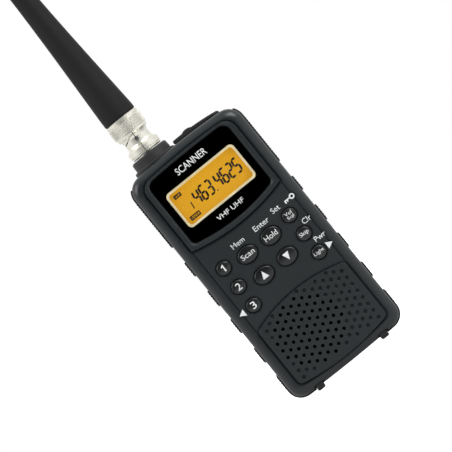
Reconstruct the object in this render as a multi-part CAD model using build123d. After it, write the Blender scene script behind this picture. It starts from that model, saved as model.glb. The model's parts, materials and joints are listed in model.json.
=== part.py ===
from build123d import *
import math
import os

# Handheld radio scanner with a rubber whip antenna on a bayonet plug.
# It stands upright on its two feet: +Z is up, the display faces -Y and +X is the user's right hand.
# The origin is on the floor, at the middle of the overall box. Sizes are in millimetres.
# Heights given below are above the case's lowest line, and up() turns them into Z.
# Depths are behind the flat front of the case, and deep() turns them into Y.

# Case
case_half = 28.3
case_height = 115.4
case_depth = 27.0
wall = 1.8
top_sag = 1.65
bottom_sag = 0.6
top_corner = 7.0
bottom_corner = 6.0
front_round = 4.0
back_round = 4.4
seam_depth = 14.0
tongue_height = 1.0
seam_line = 0.35
screw_seat = 1.6
foot_height = 1.4
foot_x = 16.9
foot_wide = 3.6
foot_end = 1.3
grip_proud = 0.6
grip_front = 4.4

# Front panels
face_half = 24.1
grille_half = 23.8
face_proud = 0.35
hood_proud = 1.3
grille_proud = 0.8
window_half = 20.7
window_lip = 1.05
window_sink = 1.0
window_thick = 1.2
mask_thick = 0.15

# Outlines of the raised grille and hood: lowest height, its sag, highest height, its sag
grille_rise = (2.8, 2.4, 38.4, 4.2)
hood_rise = (72.7, 3.3, 112.0, 0.9)
window_rise = (76.0, 2.6, 109.9, 0.5)

# Display
lcd_left = -17.8
lcd_right = 17.6
lcd_low = 84.1
lcd_high = 101.5
lcd_border = 1.0
lcd_corner = 2.0

# Keys: width and height of both sizes, then the heights of their rows and the places of their columns
small_key = (6.3, 5.8)
large_key = (8.9, 6.9)
key_gap = 0.45
key_travel = 0.8
key_proud = 0.9
key_flange = 0.6
mat_front = 4.3
key_rows_outer = (63.0, 53.3, 43.5)
key_rows_inner = (61.3, 50.4)
outer_key_x = 17.4
inner_key_x = 6.15

# Loudspeaker grille
speaker_x = -5.75
speaker_height = 21.2
hole_radius = 0.78
column_step = 2.83
row_step = 3.466
sound_radius = 15.3
dimple_depth = 0.25
speaker_radius = 16.0

# Batteries
cell_radius = 7.1
cell_length = 49.3
cell_x = 7.6
cell_depth = 18.0
cell_foot = 8.2
cell_nub = 1.0
plate_thick = 0.5
door_half = 17.4
door_low = 6.9
door_high = 61.5
door_thick = 1.6
door_gap = 0.35

# Boards
board_thick = 1.2

# Antenna
antenna_x = -11.6
antenna_depth = 14.0
collar_top = 120.2
sleeve_low = 120.7
sleeve_high = 138.4
lug_height = 127.5
bayonet_lift = 2.0
jack_radius = 4.8
jack_top = 131.6
jack_bore = 4.1
whip_low = 138.6
whip_tip = 262.0

# Top sockets under the rubber cover
earphone_x = 4.6
power_x = 13.6
cover_left = -1.0
cover_right = 22.0
cover_half = 7.0
cover_gap = 0.3

# Belt clip
clip_proud = 8.4
clip_arm_thick = 1.8
clip_base_thick = 1.4
clip_pin_height = 100.0
clip_pin_out = 4.0
clip_half = 11.5
clip_tip_height = 66.2
clip_bend_height = 80.0
clip_top_height = 109.0

front_y = -(case_depth + clip_proud - hood_proud) / 2
back_y = front_y + case_depth
antenna_y = front_y + antenna_depth


def up(height):
    return foot_height + height


def deep(depth):
    return front_y + depth


def arched_panel(half, low, low_sag, high, high_sag, low_radius, high_radius):
    """Outline in X and Z whose top edge bulges up and whose bottom edge bulges down."""
    low_side = up(low) + low_sag
    high_side = up(high) - high_sag
    edges = [
        ThreePointArc((-half, low_side), (0, up(low)), (half, low_side)),
        Line((half, low_side), (half, high_side)),
        ThreePointArc((half, high_side), (0, up(high)), (-half, high_side)),
        Line((-half, high_side), (-half, low_side)),
    ]
    face = make_face(edges)
    face = fillet(face.vertices().sort_by(Axis.Y)[:2], low_radius)
    return fillet(face.vertices().sort_by(Axis.Y)[-2:], high_radius)


def round_panel(x_low, x_high, low, high, radius):
    """Outline in X and Z of a rectangle with round corners."""
    middle = ((x_low + x_high) / 2, up((low + high) / 2))
    face = RectangleRounded(x_high - x_low, high - low, radius)
    return Pos(*middle) * face


def slab(face, y_front, y_back, taper=0.0):
    """Plate with an X and Z outline; a taper narrows it towards the front."""
    return extrude(Plane.XZ.offset(-y_back) * face, amount=y_back - y_front, taper=taper)


def block(x_low, x_high, depth_low, depth_high, low, high):
    """Plain box between two corners, given as depths and heights."""
    size = (x_high - x_low, depth_high - depth_low, high - low)
    middle = ((x_low + x_high) / 2, deep((depth_low + depth_high) / 2), up((low + high) / 2))
    return Pos(*middle) * Box(*size)


def rod(x, height, depth_low, depth_high, radius):
    """Cylinder that runs front to back."""
    length = depth_high - depth_low
    middle = Pos(x, deep((depth_low + depth_high) / 2), up(height))
    return middle * Rot(90, 0, 0) * Cylinder(radius, length)


def post(x, y, low, high, radius):
    """Upright cylinder."""
    return Pos(x, y, up((low + high) / 2)) * Cylinder(radius, high - low)


def cross_rod(x_low, x_high, y, height, radius):
    """Cylinder that runs from left to right."""
    middle = Pos((x_low + x_high) / 2, y, up(height))
    return middle * Rot(0, 90, 0) * Cylinder(radius, x_high - x_low)


def turned(profile, x, y):
    """Solid of revolution about an upright axis, from (radius, height) points."""
    points = [(radius, up(height)) for radius, height in profile]
    face = make_face(Polyline(points, close=True))
    return Pos(x, y, 0) * revolve(Plane.XZ * face, Axis.Z, 360)


def joined(solids):
    """Several solids as one shape."""
    whole = solids[0]
    for solid in solids[1:]:
        whole += solid
    return whole


def case_outline(grow):
    """The case's outline in X and Z, grown all round by grow."""
    return arched_panel(
        case_half + grow,
        -grow,
        bottom_sag,
        case_height + grow,
        top_sag,
        bottom_corner + grow,
        top_corner + grow,
    )


def rounded_case(grow):
    """The case as a full solid, grown all round by grow; a negative value gives its cavity."""
    y_front = front_y - min(grow, 0)
    y_back = back_y + min(grow, 0)
    body = slab(case_outline(grow), y_front, y_back)
    shrink = min(grow, 0)
    front_edges = body.edges().filter_by_position(Axis.Y, y_front - 0.01, y_front + 0.01)
    body = fillet(front_edges, front_round + shrink)
    back_edges = body.edges().filter_by_position(Axis.Y, y_back - 0.01, y_back + 0.01)
    return fillet(back_edges, back_round + shrink)


def grille_places():
    """Every place of the grille's pattern, as (x, height)."""
    places = []
    for column in range(-6, 11):
        shift = 0.5 if column % 2 == 0 else 0.0
        for row in range(-6, 7):
            x = speaker_x + column * column_step
            height = speaker_height + (row + shift) * row_step
            places.append((x, height))
    return places


def inside_grille(x, height):
    """True where a dimple fits on the grille panel."""
    edge = 1.6
    low, low_sag, high, high_sag = grille_rise
    arch = high - high_sag * (x / face_half) ** 2
    return abs(x) < grille_half - edge and low + low_sag + edge < height < arch - edge


def is_sound_hole(x, height):
    return math.hypot(x - speaker_x, height - speaker_height) < sound_radius


key_table = {
    "key_1": (-outer_key_x, key_rows_outer[0], small_key),
    "key_2": (-outer_key_x, key_rows_outer[1], small_key),
    "key_3": (-outer_key_x, key_rows_outer[2], small_key),
    "key_service": (-inner_key_x, key_rows_inner[0], large_key),
    "key_hold": (inner_key_x, key_rows_inner[0], large_key),
    "key_up": (-inner_key_x, key_rows_inner[1], large_key),
    "key_down": (inner_key_x, key_rows_inner[1], large_key),
    "key_volume": (outer_key_x, key_rows_outer[0], small_key),
    "key_lockout": (outer_key_x, key_rows_outer[1], small_key),
    "key_light": (outer_key_x, key_rows_outer[2], small_key),
}
screw_places = [(-21.0, 7.0), (21.0, 7.0), (-21.0, 106.0), (21.0, 106.0)]
board_screw_places = [(-23.2, 41.0), (23.2, 41.0), (-23.2, 78.0), (23.2, 78.0)]
clip_screw_places = [(-4.5, 104.0), (4.5, 104.0)]
window_outline = arched_panel(window_half, *window_rise, 2.2, 3.6)
outer_case = rounded_case(0.0)


def key_oval(size, grow=0.0):
    return Ellipse(size[0] / 2 + grow, size[1] / 2 + grow)


def make_shells():
    """Front and rear shells, cut from one hollow case."""
    grille = arched_panel(grille_half, *grille_rise, 3.0, 3.0)
    hood = arched_panel(face_half, *hood_rise, 1.0, 6.0)
    face = arched_panel(face_half, 30.0, 1.0, 90.0, 1.0, 2.0, 2.0)
    bedded = deep(1.2)
    body = outer_case
    for panel, proud, slope in ((face, face_proud, 30), (grille, grille_proud, 20), (hood, hood_proud, 20)):
        body += slab(panel, front_y - proud, bedded, slope)
    body -= rounded_case(-wall)

    # Window seat with a sloping rim, and the hole for the display behind it
    rim_plane = Plane(origin=(0, front_y - hood_proud, 0), x_dir=(1, 0, 0), z_dir=(0, -1, 0))
    rim_top = offset(window_outline, window_lip)
    seat_outline = offset(window_outline, 0.1)
    seat_back = front_y - hood_proud + window_sink + window_thick + mask_thick
    body -= loft([rim_plane * rim_top, rim_plane.offset(-window_sink) * seat_outline])
    body -= slab(seat_outline, front_y - hood_proud + window_sink / 2, seat_back)
    body -= slab(round_panel(-19.0, 19.0, 82.9, 102.7, 2.5), seat_back - 1, deep(4))

    # Key holes
    for x, height, size in key_table.values():
        hole = Pos(x, up(height)) * key_oval(size, key_gap)
        body -= slab(hole, front_y - 2, deep(wall + 1))

    # Sound holes and the shallow dimples that carry on their pattern
    cutters = []
    for x, height in grille_places():
        if is_sound_hole(x, height):
            cutters.append(rod(x, height, -2, wall + 1, hole_radius))
        elif inside_grille(x, height):
            cutters.append(rod(x, height, -2, dimple_depth - grille_proud, hole_radius))
    body -= cutters

    # Openings on the top: antenna connector and the two sockets
    for x, radius in ((antenna_x, jack_radius + 0.2), (earphone_x, 3.0), (power_x, 3.6)):
        body -= post(x, antenna_y, case_height - 4, case_height + 4, radius)

    beyond = 200
    front_zone = Pos(0, deep(seam_depth) - beyond / 2, beyond / 2) * Box(beyond, beyond, 2 * beyond)
    front_shell = body & front_zone
    rear_shell = body - front_zone

    # The rear shell's tongue sits inside the front shell's rim
    tongue_outline = case_outline(-wall / 2)
    tongue_front = deep(seam_depth - tongue_height)
    tongue = slab(tongue_outline, tongue_front, deep(seam_depth))
    tongue -= slab(case_outline(-wall), tongue_front, deep(seam_depth))
    for x in (antenna_x, earphone_x, power_x):
        tongue -= block(x - 5.2, x + 5.2, seam_depth - 6, seam_depth + 6, 105, 120)
    rear_shell += tongue
    front_shell -= slab(tongue_outline, tongue_front, deep(seam_depth))

    # Shadow line where the two shells meet
    line_front, line_back = deep(seam_depth - seam_line / 2), deep(seam_depth + seam_line / 2)
    shadow_line = slab(case_outline(1.0), line_front, line_back)
    shadow_line -= slab(case_outline(-seam_line), line_front, line_back)
    front_shell -= shadow_line
    rear_shell -= shadow_line

    # Screw posts: the front ones hold the thread, the rear ones the heads
    for x, height in screw_places:
        front_shell += rod(x, height, wall - 0.5, seam_depth - tongue_height, 2.6) & outer_case
        front_shell -= rod(x, height, seam_depth - 8, seam_depth + 1, 1.0)
        rear_shell += rod(x, height, seam_depth, case_depth - wall + 0.5, 2.8) & outer_case
        rear_shell -= rod(x, height, seam_depth - 1, case_depth + 1, 1.2)
        rear_shell -= rod(x, height, case_depth - screw_seat, case_depth + 1, 2.2)
    for x, height in board_screw_places:
        front_shell += rod(x, height, wall - 0.5, 6.0, 1.7)
        front_shell -= rod(x, height, 2.2, 7.0, 0.75)

    # Battery door opening, and bosses for the clip's screws
    opening_half = door_half + door_gap
    opening = round_panel(-opening_half, opening_half, door_low - 1.2, door_high + door_gap, 1.0)
    rear_shell -= slab(opening, back_y - wall - 1, back_y + 1)
    for x, height in clip_screw_places:
        rear_shell += rod(x, height, case_depth - wall - 3.0, case_depth - wall + 0.2, 2.4)
        rear_shell -= rod(x, height, case_depth - wall - 2.6, case_depth + 1, 0.9)
    return front_shell, rear_shell


def make_grips():
    """Rubber pads let on to both sides, as groups of solids."""
    skin = rounded_case(grip_proud) - outer_case
    bands = [(-1.0, 14.2), (21.7, 29.0), (37.4, 44.6), (51.9, 59.7), (67.7, 74.9), (83.0, 112.0)]
    sides = {}
    # The top pads wrap round their corners, and the bottom ones run on under the case to the feet
    straight_end = 25.8
    top_end = 21.5
    foot_side = foot_x + foot_wide / 2 + 0.2
    inner_ends = [foot_side] + [straight_end] * 4 + [top_end]
    for side, name in ((-1, "side_grip_left"), (1, "side_grip_right")):
        pads = []
        for (low, high), inner_end in zip(bands, inner_ends):
            x_low, x_high = sorted((side * inner_end, side * (case_half + 2)))
            zone = block(x_low, x_high, grip_front, case_depth - grip_front, low, high)
            pads.append(skin & zone)
        sides[name] = joined(pads)
    return sides


def make_feet():
    """Two rounded rubber bars under the case, which also wrap up a little over its lower bevel."""
    feet = []
    tall = foot_height + 3.0
    for x in (-foot_x, foot_x):
        outline = Pos(x, tall / 2) * RectangleRounded(foot_wide, tall, 0.8)
        bar = slab(outline, deep(foot_end), deep(case_depth - foot_end)) - outer_case
        feet.append(bar.solids().sort_by(Axis.Z)[0])
    return joined(feet)


def make_key(x, height, size):
    """Key cap with a rounded rim, and the flange that keeps it behind the panel."""
    cap_front = front_y - face_proud - key_proud
    cap = slab(Pos(x, up(height)) * key_oval(size), cap_front, deep(2.4))
    rim = cap.edges().filter_by_position(Axis.Y, cap_front - 0.01, cap_front + 0.01)
    cap = fillet(rim, 0.6)
    flange = slab(Pos(x, up(height)) * key_oval(size, key_gap + key_flange), deep(2.1), deep(3.1))
    stem = rod(x, height, 3.0, mat_front - key_travel - 0.1, 1.2)
    return cap + flange + stem


def make_display():
    """Window, black mask, display glass, its frame, light guide and contact strip."""
    window_front = front_y - hood_proud + window_sink
    window_back = window_front + window_thick
    mask_back = window_back + mask_thick
    mask_hole = round_panel(lcd_left, lcd_right, lcd_low, lcd_high, lcd_corner)
    view_hole = round_panel(
        lcd_left + lcd_border,
        lcd_right - lcd_border,
        lcd_low + lcd_border,
        lcd_high - lcd_border,
        lcd_corner - lcd_border / 2,
    )
    frame_outer = round_panel(-18.8, 18.8, 83.1, 102.5, 2.3)
    frame_front = mask_back + 0.05
    lip_back = frame_front + 0.9
    glass_outline = round_panel(-17.5, 17.3, 84.3, 101.3, 0.4)
    frame = slab(frame_outer, frame_front, deep(4.6)) - slab(view_hole, frame_front - 1, lip_back + 1)
    frame -= slab(offset(glass_outline, 0.1), lip_back, deep(5.0))
    return {
        "display_window": slab(window_outline, window_front, window_back),
        "display_mask": slab(window_outline, window_back, mask_back) - slab(mask_hole, deep(-5), deep(5)),
        "lcd_frame": frame,
        "lcd_glass": slab(glass_outline, lip_back, deep(3.9)),
        "lcd_backlight": slab(glass_outline, deep(3.95), deep(5.6)),
        "lcd_contact_strip": block(-16.5, 16.5, 4.7, 6.0, 82.4, 84.0),
    }


def make_boards():
    """Control board behind the keys, radio board behind it, and what stands on them."""
    control_front, radio_front = 6.0, 13.0
    control_back, radio_back = control_front + board_thick, radio_front + board_thick
    control = slab(round_panel(-25.0, 25.0, 39.0, 102.8, 1.5), deep(control_front), deep(control_back))
    radio = slab(round_panel(-21.0, 21.0, 64.5, 99.5, 1.5), deep(radio_front), deep(radio_back))
    mat = slab(round_panel(-22.5, 22.5, 39.5, 67.5, 2.0), deep(mat_front), deep(mat_front + 0.7))
    screws = []
    for x, height in board_screw_places:
        control -= rod(x, height, control_front - 1, control_back + 1, 1.1)
        mat -= rod(x, height, mat_front - 1, mat_front + 2, 2.1)
        head = rod(x, height, control_back, control_back + 1.0, 1.7)
        screws.append(head + rod(x, height, 2.6, control_back, 0.7))

    can_high = 4.2
    can = block(-16, 14, radio_back, radio_back + can_high, 68, 92)
    can -= block(-15.7, 13.7, radio_back, radio_back + can_high - 0.3, 68.3, 91.7)
    chips = []
    for left, low, side, thick in ((-12, 72, 8, 1.2), (1, 80, 8, 1.0), (-9, 83, 6.5, 1.2)):
        chips.append(block(left, left + side, radio_back, radio_back + thick, low, low + side))
    connector = block(-8, 8, control_back, radio_front, 66.5, 70)
    spacers = [rod(x, 96, control_back, radio_front, 1.6) for x in (-18, 18)]
    dome_front = control_front - 0.4
    domes = [rod(x, height, dome_front, control_front, 2.0) for x, height, size in key_table.values()]
    return {
        "control_board": control,
        "radio_board": radio,
        "shield_can": can,
        "radio_chips": joined(chips),
        "board_connector": connector,
        "board_spacers": joined(spacers),
        "keypad_mat": mat,
        "switch_domes": joined(domes),
        "board_screws": joined(screws),
    }


def make_speaker():
    """Loudspeaker behind the sound holes: cloth, basket, cone, magnet and its two leads."""
    x, height = speaker_x, speaker_height
    cloth = rod(x, height, wall, wall + 0.3, sound_radius + 0.4)
    rim_front = wall + 0.3
    # Profiles are (radius, depth), turned about the speaker's own axis
    basket_points = [
        (13.8, rim_front), (speaker_radius, rim_front), (speaker_radius, rim_front + 1.0),
        (14.2, rim_front + 1.2), (9.0, 6.4), (4.2, 6.4), (4.2, 5.8), (8.8, 5.8), (13.8, rim_front + 0.8),
    ]
    cone_points = [
        (13.7, rim_front + 0.5), (12.4, rim_front + 0.2), (11.2, rim_front + 0.5), (3.8, 5.4), (0, 4.6),
        (0, 4.3), (3.9, 5.0), (11.1, rim_front + 0.2), (12.4, rim_front), (13.7, rim_front + 0.2),
    ]
    basket = revolve(Plane.XY * make_face(Polyline(basket_points, close=True)), Axis.Y, 360)
    cone = revolve(Plane.XY * make_face(Polyline(cone_points, close=True)), Axis.Y, 360)
    place = Pos(x, front_y, up(height))
    leads = []
    lead_y = deep(7.75)
    for low, turn_x in ((27.0, 12.8), (25.4, 15.2)):
        corners = [(7.0, lead_y, up(low)), (turn_x, lead_y, up(low)), (turn_x, lead_y, up(40.5))]
        path = FilletPolyline(*corners, radius=2.5)
        leads.append(sweep(Plane(origin=path @ 0, z_dir=path % 0) * Circle(0.45), path=path))
    return {
        "speaker_cloth": cloth,
        "speaker_basket": place * basket,
        "speaker_cone": place * cone,
        "speaker_magnet": rod(x, height, 6.4, 9.4, 8.0),
        "speaker_leads": joined(leads),
    }


def make_battery_bay():
    """Tray, two cells, their contacts, and the door with its hinge edge."""
    tray_low, tray_high = door_low - 0.9, door_high - 0.7
    tray = block(-16.6, 16.6, 9.8, 24.9, tray_low, tray_high)
    tray -= block(-15.6, 15.6, 10.7, 26.0, tray_low + 1, tray_high - 1)
    tray += block(-0.3, 0.3, 10.5, 17.0, tray_low + 0.5, tray_high - 0.5)
    # The left cell stands with its positive end up, the right one with it down
    springs = []
    plates = []
    parts = {"battery_tray": tray}
    y = deep(cell_depth)
    inner_low, inner_high = tray_low + 1.0, tray_high - 1.0
    for name, x, positive_up, low in (
        ("cell_left", -cell_x, True, cell_foot),
        ("cell_right", cell_x, False, cell_foot + cell_nub),
    ):
        high = low + cell_length
        can = post(x, y, low, high, cell_radius)
        can = fillet(can.edges().filter_by(GeomType.CIRCLE), 0.6)
        if positive_up:
            nub = post(x, y, high - 0.1, high + cell_nub, 2.7)
            spring = [(2.2, inner_low), (3.0, inner_low), (5.2, low), (4.4, low)]
            plate_low = high + cell_nub
        else:
            nub = post(x, y, low - cell_nub, low + 0.1, 2.7)
            spring = [(4.4, high), (5.2, high), (3.0, inner_high), (2.2, inner_high)]
            plate_low = low - cell_nub - plate_thick
        parts[name] = can + nub
        springs.append(turned(spring, x, y))
        plate_high = plate_low + plate_thick
        plates.append(block(x - 5, x + 5, cell_depth - 5, cell_depth + 5, plate_low, plate_high))
    parts["battery_springs"] = joined(springs)
    parts["battery_plates"] = joined(plates)

    parts["battery_door"] = make_door()
    return parts


def make_door():
    """Battery door with a round hinge edge below, a finger scoop and three grip grooves above."""
    door = slab(round_panel(-door_half, door_half, door_low, door_high, 0.8), back_y - door_thick, back_y)
    # Square lower corners, then the rounded edge that the door turns on
    door += block(-door_half, door_half, case_depth - door_thick, case_depth, door_low, door_low + 1.0)
    door += cross_rod(-door_half, door_half, back_y - door_thick / 2, door_low, door_thick / 2)
    scoop_radius, scoop_sink = 6.0, 0.8
    scoop_y = back_y + scoop_radius - scoop_sink
    door -= Pos(0, scoop_y, up(door_high - 4.0)) * Rot(0, 90, 0) * Cylinder(scoop_radius, 12.0)
    for groove in range(3):
        height = door_high - 11.0 - 2.4 * groove
        door -= block(-7.0, 7.0, case_depth - 0.35, case_depth + 1, height, height + 0.9)
    return door


def make_antenna():
    """Socket on the case, and the plug, sleeve and whip that come off together."""
    x, y = antenna_x, antenna_y
    collar = turned(
        [
            (jack_radius + 0.1, case_height - 1.6), (10.2, case_height - 1.6), (10.2, case_height + 0.5),
            (9.6, case_height + 0.9), (8.9, case_height + 0.9), (8.75, collar_top - 0.6),
            (8.2, collar_top), (jack_radius + 0.1, collar_top),
        ],
        x,
        y,
    )
    collar = collar - outer_case
    collar = collar.solids().sort_by(Axis.Z)[-1]
    jack = turned(
        [
            (jack_bore, 118.0), (jack_bore, jack_top), (jack_radius - 0.3, jack_top),
            (jack_radius, jack_top - 0.4), (jack_radius, 104.0), (6.4, 104.0), (6.4, 102.0),
            (2.6, 102.0), (2.6, 118.0),
        ],
        x,
        y,
    )
    jack += bayonet_lugs(x, y, lug_height, 0.9, jack_radius + 0.65)
    jack_insulator = turned([(1.3, 103.0), (2.5, 103.0), (2.5, 127.0), (1.3, 127.0)], x, y)
    jack_contact = turned(
        [
            (0.0, 99.6), (0.5, 99.6), (0.5, 103.0), (1.2, 103.0), (1.2, 127.4), (0.76, 127.4),
            (0.76, 121.0), (0.0, 121.0),
        ],
        x,
        y,
    )
    plug_radius = jack_bore - 0.07
    plug = turned(
        [
            (3.1, 120.5), (plug_radius, 120.5), (plug_radius, jack_top + 0.4), (5.2, jack_top + 0.4),
            (5.2, 134.6), (4.4, 134.6), (4.4, 146.0), (2.8, 146.0), (2.8, 133.6), (3.1, 133.6),
        ],
        x,
        y,
    )
    plug_insulator = turned(
        [(0.7, 129.0), (3.0, 129.0), (3.0, 133.5), (2.7, 133.5), (2.7, 145.0), (0.7, 145.0)],
        x,
        y,
    )
    plug_pin = turned([(0.0, 122.2), (0.45, 122.2), (0.68, 123.2), (0.68, 147.0), (0.0, 147.0)], x, y)
    sleeve = turned(
        [
            (jack_radius + 0.1, sleeve_low), (7.0, sleeve_low), (7.2, 121.0), (7.2, 121.25), (6.9, 121.35),
            (6.9, 121.6), (7.5, 121.8), (7.5, 124.0), (7.2, 124.4), (6.3, 124.9), (5.95, 125.8),
            (5.95, 128.6), (6.3, 129.6), (7.2, 130.3), (7.3, 131.1), (7.3, 131.5), (7.75, 131.7),
            (7.75, 136.6), (7.4, 136.75), (7.4, 137.0), (7.7, 137.15), (7.7, sleeve_high - 0.3),
            (7.4, sleeve_high), (4.5, sleeve_high), (4.5, 134.9), (5.5, 134.9), (5.5, 131.0),
            (jack_radius + 0.1, 130.6),
        ],
        x,
        y,
    )
    sleeve -= bayonet_slots(x, y)
    # The plating shows an upright split line at the front, and a slanted one beside it
    sleeve -= block(x - 0.18, x + 0.18, antenna_depth - 10, antenna_depth - 3, sleeve_low - 1, 131.2)
    sleeve -= Pos(x - 3.7, y - 6, up(128.8)) * Rot(0, 65, 0) * Box(0.5, 10, 4.4)
    helix = Helix(pitch=6.0, height=96.0, radius=2.4)
    wire_plane = Plane(origin=helix @ 0, z_dir=helix % 0)
    coil = Pos(x, y, up(149.0)) * sweep(wire_plane * Circle(0.45), path=helix, is_frenet=True)
    return {
        "antenna_collar": collar,
        "antenna_jack": jack,
        "jack_insulator": jack_insulator,
        "jack_contact": jack_contact,
        "plug_body": plug,
        "plug_insulator": plug_insulator,
        "plug_pin": plug_pin,
        "bayonet_sleeve": sleeve,
        "antenna_whip": make_whip(x, y),
        "antenna_coil": coil,
    }


def make_whip(x, y):
    """Rubber sheath: a flared foot over the plug's ferrule, a long taper and a domed tip."""
    bore_top, ferrule_top, ferrule_radius = 250.0, 147.5, 4.45
    taper = [(7.55, 142.0), (6.1, 170.0), (5.0, 196.0), (4.4, 225.0), (4.2, 252.0)]
    tip_radius, tip_low = taper[-1]
    hollow = [
        (0, bore_top), (3.3, bore_top), (3.3, ferrule_top), (ferrule_radius, ferrule_top),
        (ferrule_radius, whip_low), (7.3, whip_low), (7.6, whip_low + 0.5), taper[0],
    ]
    foot = Polyline([(radius, up(height)) for radius, height in hollow])
    side = Spline([(radius, up(height)) for radius, height in taper])
    dome = Spline(
        [(tip_radius, up(tip_low)), (0.8 * tip_radius, up(whip_tip - 3.0)), (0, up(whip_tip))],
        tangents=[(0, 1), (-1, 0)],
    )
    axis_line = Line((0, up(whip_tip)), (0, up(bore_top)))
    face = make_face([*foot.edges(), side, dome, axis_line])
    return Pos(x, y, 0) * revolve(Plane.XZ * face, Axis.Z, 360)


def bayonet_lugs(x, y, height, radius, reach):
    """Two round lugs, one in front of the socket and one behind it."""
    lugs = []
    for side in (-1, 1):
        length = reach - jack_bore - 0.3
        middle = y + side * (reach - length / 2)
        lugs.append(Pos(x, middle, up(height)) * Rot(90, 0, 0) * Cylinder(radius, length))
    return joined(lugs)


def bayonet_slots(x, y):
    """Two helical grooves inside the sleeve, each from a round detent hole to an entry channel."""
    steps = 15
    groove_half = 1.2
    groove_floor = 5.65
    groove_top = 4.0
    detent_radius = 0.95
    groove_deep = groove_floor - groove_top
    groove_y = -(groove_floor + groove_top) / 2
    entry_low = sleeve_low - 1
    entry_high = lug_height - bayonet_lift
    cuts = []
    for side in (0, 180):
        start = Pos(x, y, 0) * Rot(0, 0, side)
        cuts.append(start * Pos(0, -6.5, up(lug_height)) * Rot(90, 0, 0) * Cylinder(detent_radius, 4))
        for step in range(steps + 1):
            turned_by = Rot(0, 0, -90.0 * step / steps)
            height = lug_height - bayonet_lift * step / steps
            bite = Pos(0, groove_y, up(height)) * Rot(90, 0, 0) * Cylinder(groove_half, groove_deep)
            cuts.append(start * turned_by * bite)
        entry = Pos(0, groove_y, up((entry_low + entry_high) / 2))
        entry *= Box(2 * groove_half, groove_deep, entry_high - entry_low)
        cuts.append(start * Rot(0, 0, -90.0) * entry)
    return joined(cuts)


def make_sockets():
    """Earphone and power sockets in the top, and the rubber cover over them."""
    y = antenna_y
    ear = post(earphone_x, y, 101.5, 114.6, 2.9) - post(earphone_x, y, 103.0, 116.0, 1.8)
    ear += block(earphone_x - 3.1, earphone_x + 3.1, antenna_depth - 3.1, antenna_depth + 3.1, 101.0, 112.0)
    ear -= post(earphone_x, y, 103.0, 116.0, 1.8)
    power = block(power_x - 4.4, power_x + 4.4, antenna_depth - 4.4, antenna_depth + 4.4, 102.0, 112.4)
    power += post(power_x, y, 112.0, 114.6, 3.5)
    power -= post(power_x, y, 104.0, 116.0, 2.75)
    power += post(power_x, y, 103.5, 113.0, 0.85)

    return {"earphone_jack": ear, "power_jack": power, "jack_cover": make_cover()}


def make_cover():
    """Rubber cover that bends up about the rounded bead at its left end."""
    bead_radius = 0.7
    bead_x = cover_left + bead_radius
    bead_height = case_height + cover_gap + bead_radius + 0.1
    start = (bead_x, up(bead_height + bead_radius))
    lip = (cover_right - 0.6, up(115.7))
    skirt = up(113.0)
    top = Spline([start, (10.0, up(117.0)), lip])
    sides = Polyline([lip, (cover_right, up(114.9)), (cover_right, skirt), (bead_x, skirt), start])
    cover = slab(make_face([top, *sides.edges()]), antenna_y - cover_half, antenna_y + cover_half)
    cover = fillet(cover.edges().filter_by(Axis.Z).sort_by(Axis.X)[-2:], 3.0)
    cover -= rounded_case(cover_gap)
    cover = cover.solids().sort_by(Axis.Z)[-1]
    cover += Pos(bead_x, antenna_y, up(bead_height)) * Rot(90, 0, 0) * Cylinder(bead_radius, 2 * cover_half)
    tab_outline = [
        ThreePointArc((3.4, up(116.9)), (6.4, up(117.85)), (9.4, up(116.8))),
        Line((9.4, up(116.8)), (3.4, up(116.9))),
    ]
    return cover + slab(make_face(tab_outline), antenna_y - 5.0, antenna_y + 5.0)


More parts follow.
